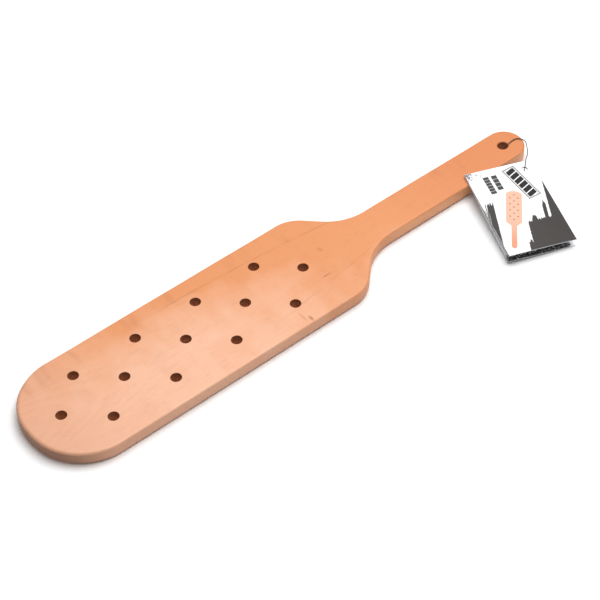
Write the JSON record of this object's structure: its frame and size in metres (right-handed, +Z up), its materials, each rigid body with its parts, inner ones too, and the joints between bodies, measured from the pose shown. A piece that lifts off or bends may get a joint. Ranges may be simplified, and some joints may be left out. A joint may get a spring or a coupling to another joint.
{
  "type": "perforated wooden paddle",
  "caption": "Flat wooden paddle with a long perforated blade, waisted neck and slim handle, and a folded card tag on a cord through its hang hole.",
  "frame": {"origin": "on the surface that the paddle lies on, below the middle of the wooden board's length and width. The board's underside is 0.9 mm above it, because the handle lies on one strand of the tag's 0.8 mm cord.", "axes": "+X along the board, from the blade's tip to the handle's end. +Y across the blade, away from the side that the tag hangs on. +Z up, out of the upper face."},
  "size_m": [0.473, 0.1588, 0.0193],
  "materials": {
    "wood": "smooth pale reddish hardwood with a thin satin lacquer",
    "card_back": "white card, dark brushed print along its free edge",
    "card_front": null,
    "cord": "thin black waxed cord"
  },
  "bodies": {
    "board": {"wooden_board": "wood"},
    "cord": {"tag_cord": "cord", "cord_knot": "cord"},
    "back_leaf": {"tag_back_leaf": "card_back"},
    "front_leaf": {"tag_front_leaf": "card_front"}
  },
  "joints": [
    {"name": "tag_swing", "type": "hinge", "parent": "board", "child": "cord", "pos_m": [0.2185, 0, 0.0119], "axis": [0, 0, 1], "range_deg": [0, 180]},
    {"name": "tag_swivel", "type": "hinge", "parent": "cord", "child": "back_leaf", "pos_m": [0.2128, -0.03121, 0.0107], "axis": [0, -0.1271, 0.9919], "range_deg": [-20, 10]},
    {"name": "tag_fold", "type": "hinge", "parent": "back_leaf", "child": "front_leaf", "pos_m": [0.1706, -0.007, 0.0138], "axis": [-0.9397, 0.3392, 0.0435], "range_deg": [-3.5, 40], "stiffness_Nm_per_rad": 0.02, "springref_deg": 2.29}
  ]
}
